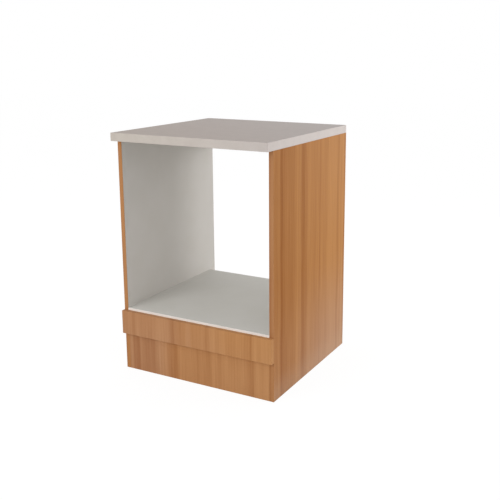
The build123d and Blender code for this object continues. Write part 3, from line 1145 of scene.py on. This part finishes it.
@dataclass
class PaleBoards:
    """The oven shelf, with its front band, and the rear rail."""

    shelf: str = "oven_shelf"
    band: str = "shelf_edging"
    rail: str = "rear_rail"

    def dress(self) -> None:
        """Pale melamine on both faces, with raw board on the cut edges."""
        under, upper = reach(self.shelf, Axis.Z)
        paint(self.shelf, CoatedBoard("shelf_finish", Axis.Z, upper, under, PALE, PALE))
        paint(self.band, PALE_BAND)
        front, rear = reach(self.rail, Axis.Y)
        paint(self.rail, CoatedBoard("rail_finish", Axis.Y, front, rear, PALE, PALE))


@dataclass
class Worktop:
    """The worktop and its three bands."""

    board: str = "worktop"
    bands: tuple[tuple[str, Finish], ...] = (
        ("worktop_front_edging", TOP_FRONT_BAND),
        ("worktop_edging_left", TOP_END_BAND),
        ("worktop_edging_right", TOP_END_BAND),
    )

    def dress(self) -> None:
        """Laminate on top, pale backing below, raw board at the rear."""
        under, upper = reach(self.board, Axis.Z)
        paint(self.board, CoatedBoard("worktop_finish", Axis.Z, upper, under, LAMINATE, PALE))
        for node, finish in self.bands:
            paint(node, finish)


@dataclass
class Hardware:
    """Everything that holds the boards together."""

    screwed: tuple[str, ...] = ("worktop", "strip", "plinth")
    cammed: tuple[str, ...] = ("shelf", "rail")
    dowelled: tuple[tuple[str, Axis], ...] = (
        ("shelf", Axis.X),
        ("rail", Axis.X),
        ("plinth", Axis.X),
        ("strip", Axis.Y),
    )
    streak_size: float = 0.0008
    streak_stretch: float = 14.0  # how much longer than wide a dowel's streaks are

    def bare_beech(self, along: Axis) -> Mottled:
        """Unfinished beech, as dowels have, with its grain along one axis."""
        stretches = [self.streak_stretch if axis is along else 1.0 for axis in Axis]
        return Mottled(
            f"dowel_beech_{along.name.lower()}", colour=(214, 178, 132), shade=(182, 138, 94),
            sizes=tuple(self.streak_size * stretch for stretch in stretches),
            roughness=0.7, gloss_change=0.1, relief=0.00005, detail=2.0,
        )

    def dress(self) -> None:
        """Finishes the brackets and cams, and builds the screws, bolts and dowels."""
        for name in self.screwed:
            paint(f"{name}_brackets", STEEL)
            FittingSet(
                f"{name}_bracket_screws", f"{name}_screws_turned", Screw(), STEEL, turned=True,
            ).build()
        for name in self.cammed:
            paint(f"{name}_cam_discs", ZINC)
            FittingSet(f"{name}_cam_bolts", f"{name}_bolts_turned", CamBolt(), STEEL).build()
        for name, along in self.dowelled:
            FittingSet(
                f"{name}_dowels", f"{name}_dowels_fluted", Dowel(), self.bare_beech(along),
                "dowel_wood", Place.MIDDLE,
            ).build()


@dataclass(frozen=True)
class Lamp:
    """One large round lamp."""

    name: str
    place: tuple[float, float, float]
    size: float
    power: float


@dataclass
class Studio:
    """Floor, world, lamps and camera."""

    floor_half: float = 12.0
    floor_white: float = 0.88  # how much of the floor's look is plain white to the camera
    floor_grey: float = 0.75  # how much light the rest of it throws back
    floor_glow: float = 1.06  # strength of the plain white
    world_strength: float = 0.73
    lamps: tuple[Lamp, ...] = (
        Lamp("key", (-1.4, -3.4, 1.8), 2.2, 45.0),
        Lamp("back", (0.5, 2.7, 0.8), 2.2, 21.0),
        Lamp("rear_right", (2.8, 1.15, 0.6), 0.9, 18.5),
    )
    aim: tuple[float, float, float] = (0.0, 0.0, 0.42)
    camera_place: tuple[float, float, float] = (1.3699, -2.2544, 1.1285)
    camera_turn: float = 27.762  # degrees from the front towards the right
    camera_tilt: float = 11.838  # degrees down
    lens: float = 54.134  # millimetres
    principal: tuple[float, float] = (280.0, 205.0)  # pixel that the lens's axis meets
    picture: float = 500.0  # pixels along each side of the picture

    def white_share(self, bench: Bench) -> Signal:
        """Picks out what the camera sees, directly, in gloss or through glass.

        Args:
            bench: Where the nodes are built.

        Returns:
            One for those rays, and zero for all others.
        """
        path = bench.node("ShaderNodeLightPath", {}, {})
        kinds = ("Camera", "Glossy", "Transmission")
        camera, gloss, glass = [Signal(bench, path.outputs[f"Is {kind} Ray"]) for kind in kinds]
        return bench.maths("MINIMUM", camera + gloss + glass, 1.0)

    def build_floor(self) -> None:
        """A white floor that keeps the cabinet's shadow."""
        half = self.floor_half
        corners = [(-half, -half, 0), (half, -half, 0), (half, half, 0), (-half, half, 0)]
        mesh = bpy.data.meshes.new("studio_floor")
        mesh.from_pydata(corners, [], [(0, 1, 2, 3)])
        floor = add_object("studio_floor", mesh)
        material = bpy.data.materials.new("studio_white")
        material.use_nodes = True
        bench = Bench(material.node_tree)
        grey = (self.floor_grey, self.floor_grey, self.floor_grey, 1.0)
        matt = bench.node("ShaderNodeBsdfDiffuse", {}, {"Color": grey})
        glow = bench.node("ShaderNodeEmission", {}, {"Color": WHITE, "Strength": self.floor_glow})
        mixed = bench.node("ShaderNodeMixShader", {}, {
            0: self.white_share(bench) * self.floor_white,
            1: Signal(bench, matt.outputs[0]),
            2: Signal(bench, glow.outputs[0]),
        })
        bench.node("ShaderNodeOutputMaterial", {}, {"Surface": Signal(bench, mixed.outputs[0])})
        mesh.materials.append(material)

    def build_world(self) -> None:
        """An even sky that is plain white to the camera."""
        world = bpy.data.worlds.new("studio")
        world.use_nodes = True
        bpy.context.scene.world = world
        bench = Bench(world.node_tree)
        share = self.white_share(bench)
        strength = share * (1 - self.world_strength) + self.world_strength
        sky = bench.node("ShaderNodeBackground", {}, {"Color": WHITE, "Strength": strength})
        bench.node("ShaderNodeOutputWorld", {}, {"Surface": Signal(bench, sky.outputs[0])})

    def build_lamps(self) -> None:
        """Large soft lamps that face the cabinet."""
        for lamp in self.lamps:
            data = bpy.data.lights.new(lamp.name, "AREA")
            data.shape = "DISK"
            data.size = lamp.size
            data.energy = lamp.power
            light = add_object(lamp.name, data)
            across, back, up = np.array(lamp.place) - np.array(self.aim)
            tilt = math.atan2(math.hypot(across, back), up)
            light.location = lamp.place
            light.rotation_euler = (tilt, 0, math.atan2(across, -back))

    def build_camera(self) -> None:
        """A view close to the photo's, with its lens shifted a little."""
        data = bpy.data.cameras.new("view")
        data.lens = self.lens
        data.shift_x = (self.picture / 2 - self.principal[0]) / self.picture
        data.shift_y = (self.principal[1] - self.picture / 2) / self.picture
        camera = add_object("view", data)
        camera.location = self.camera_place
        camera.rotation_euler = (math.radians(90 - self.camera_tilt), 0, math.radians(self.camera_turn))
        bpy.context.scene.camera = camera

    def build(self) -> None:
        """Sets up everything round the cabinet."""
        self.build_floor()
        self.build_world()
        self.build_lamps()
        self.build_camera()
        bpy.context.scene.view_settings.view_transform = "Standard"
        log.info("studio is ready")


def main() -> None:
    """Builds the studio and the cabinet's looks."""
    logging.basicConfig(level=logging.INFO, format="%(name)s: %(message)s")
    Studio().build()
    for assembly in (SidePanels(), FrontBoards(), PaleBoards(), Worktop(), Hardware()):
        assembly.dress()


if __name__ == "__main__":
    main()
